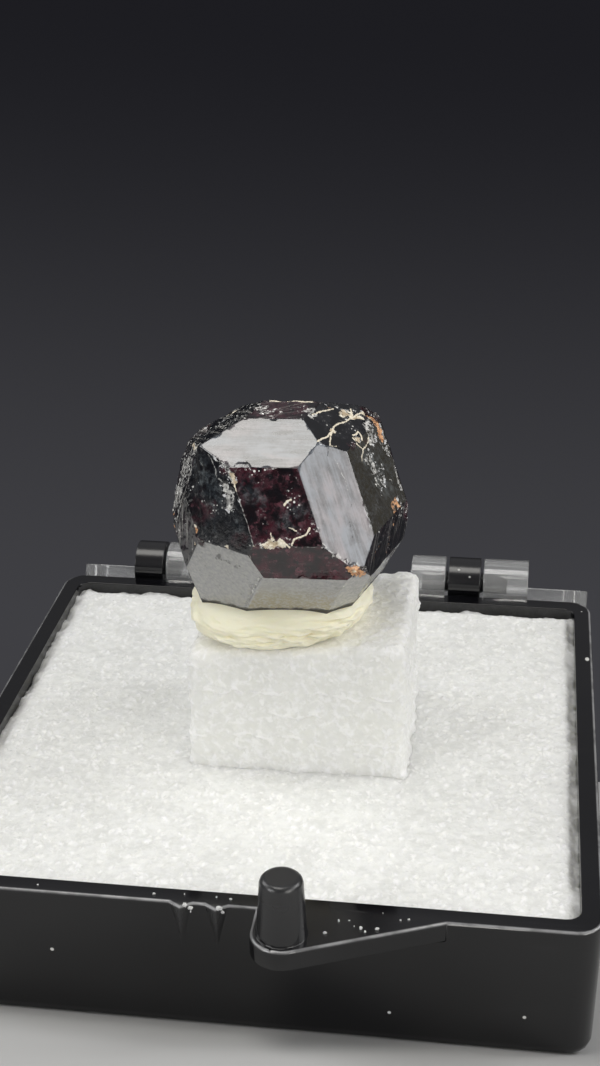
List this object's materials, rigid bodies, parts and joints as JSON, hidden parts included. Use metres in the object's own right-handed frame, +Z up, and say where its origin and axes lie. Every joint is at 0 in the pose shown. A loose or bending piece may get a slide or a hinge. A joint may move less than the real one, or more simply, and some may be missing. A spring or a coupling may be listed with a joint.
{
  "type": "andradite garnet crystal in a hinged specimen box",
  "caption": "Dark faceted garnet crystal held by putty on a white foam block in a black tray; clear hinged lid folded under it as an easel stand.",
  "frame": {"origin": "middle of the lid's flat top face, which stands on the table while the lid is folded under the tray", "axes": "+Z up; +X to the right along the hinge axis, seen from the front; +Y towards the back, away from the catch post. The tray leans forward by 27.56 degrees about X"},
  "size_m": [0.0318, 0.0703, 0.0293],
  "materials": {
    "black_plastic": "glossy moulded black polystyrene",
    "clear_plastic": "clear polystyrene, polished",
    "white_foam": "white closed-cell polyethylene foam, soft sheen",
    "cream_putty": "cream mounting putty, satin, folded and pressed",
    "garnet": "near-black deep red garnet, adamantine flat faces, rough broken zones"
  },
  "bodies": {
    "tray": {"tray": "black_plastic", "foam_liner": "white_foam", "foam_block": "white_foam", "mounting_putty": "cream_putty", "garnet_crystal": "garnet"},
    "lid": {"lid": "clear_plastic"}
  },
  "joints": [
    {"name": "lid_hinge", "type": "hinge", "parent": "tray", "child": "lid", "pos_m": [0, -0.01758, 0.0215], "axis": [1, 0, 0], "range_deg": [0, 207.5]}
  ]
}
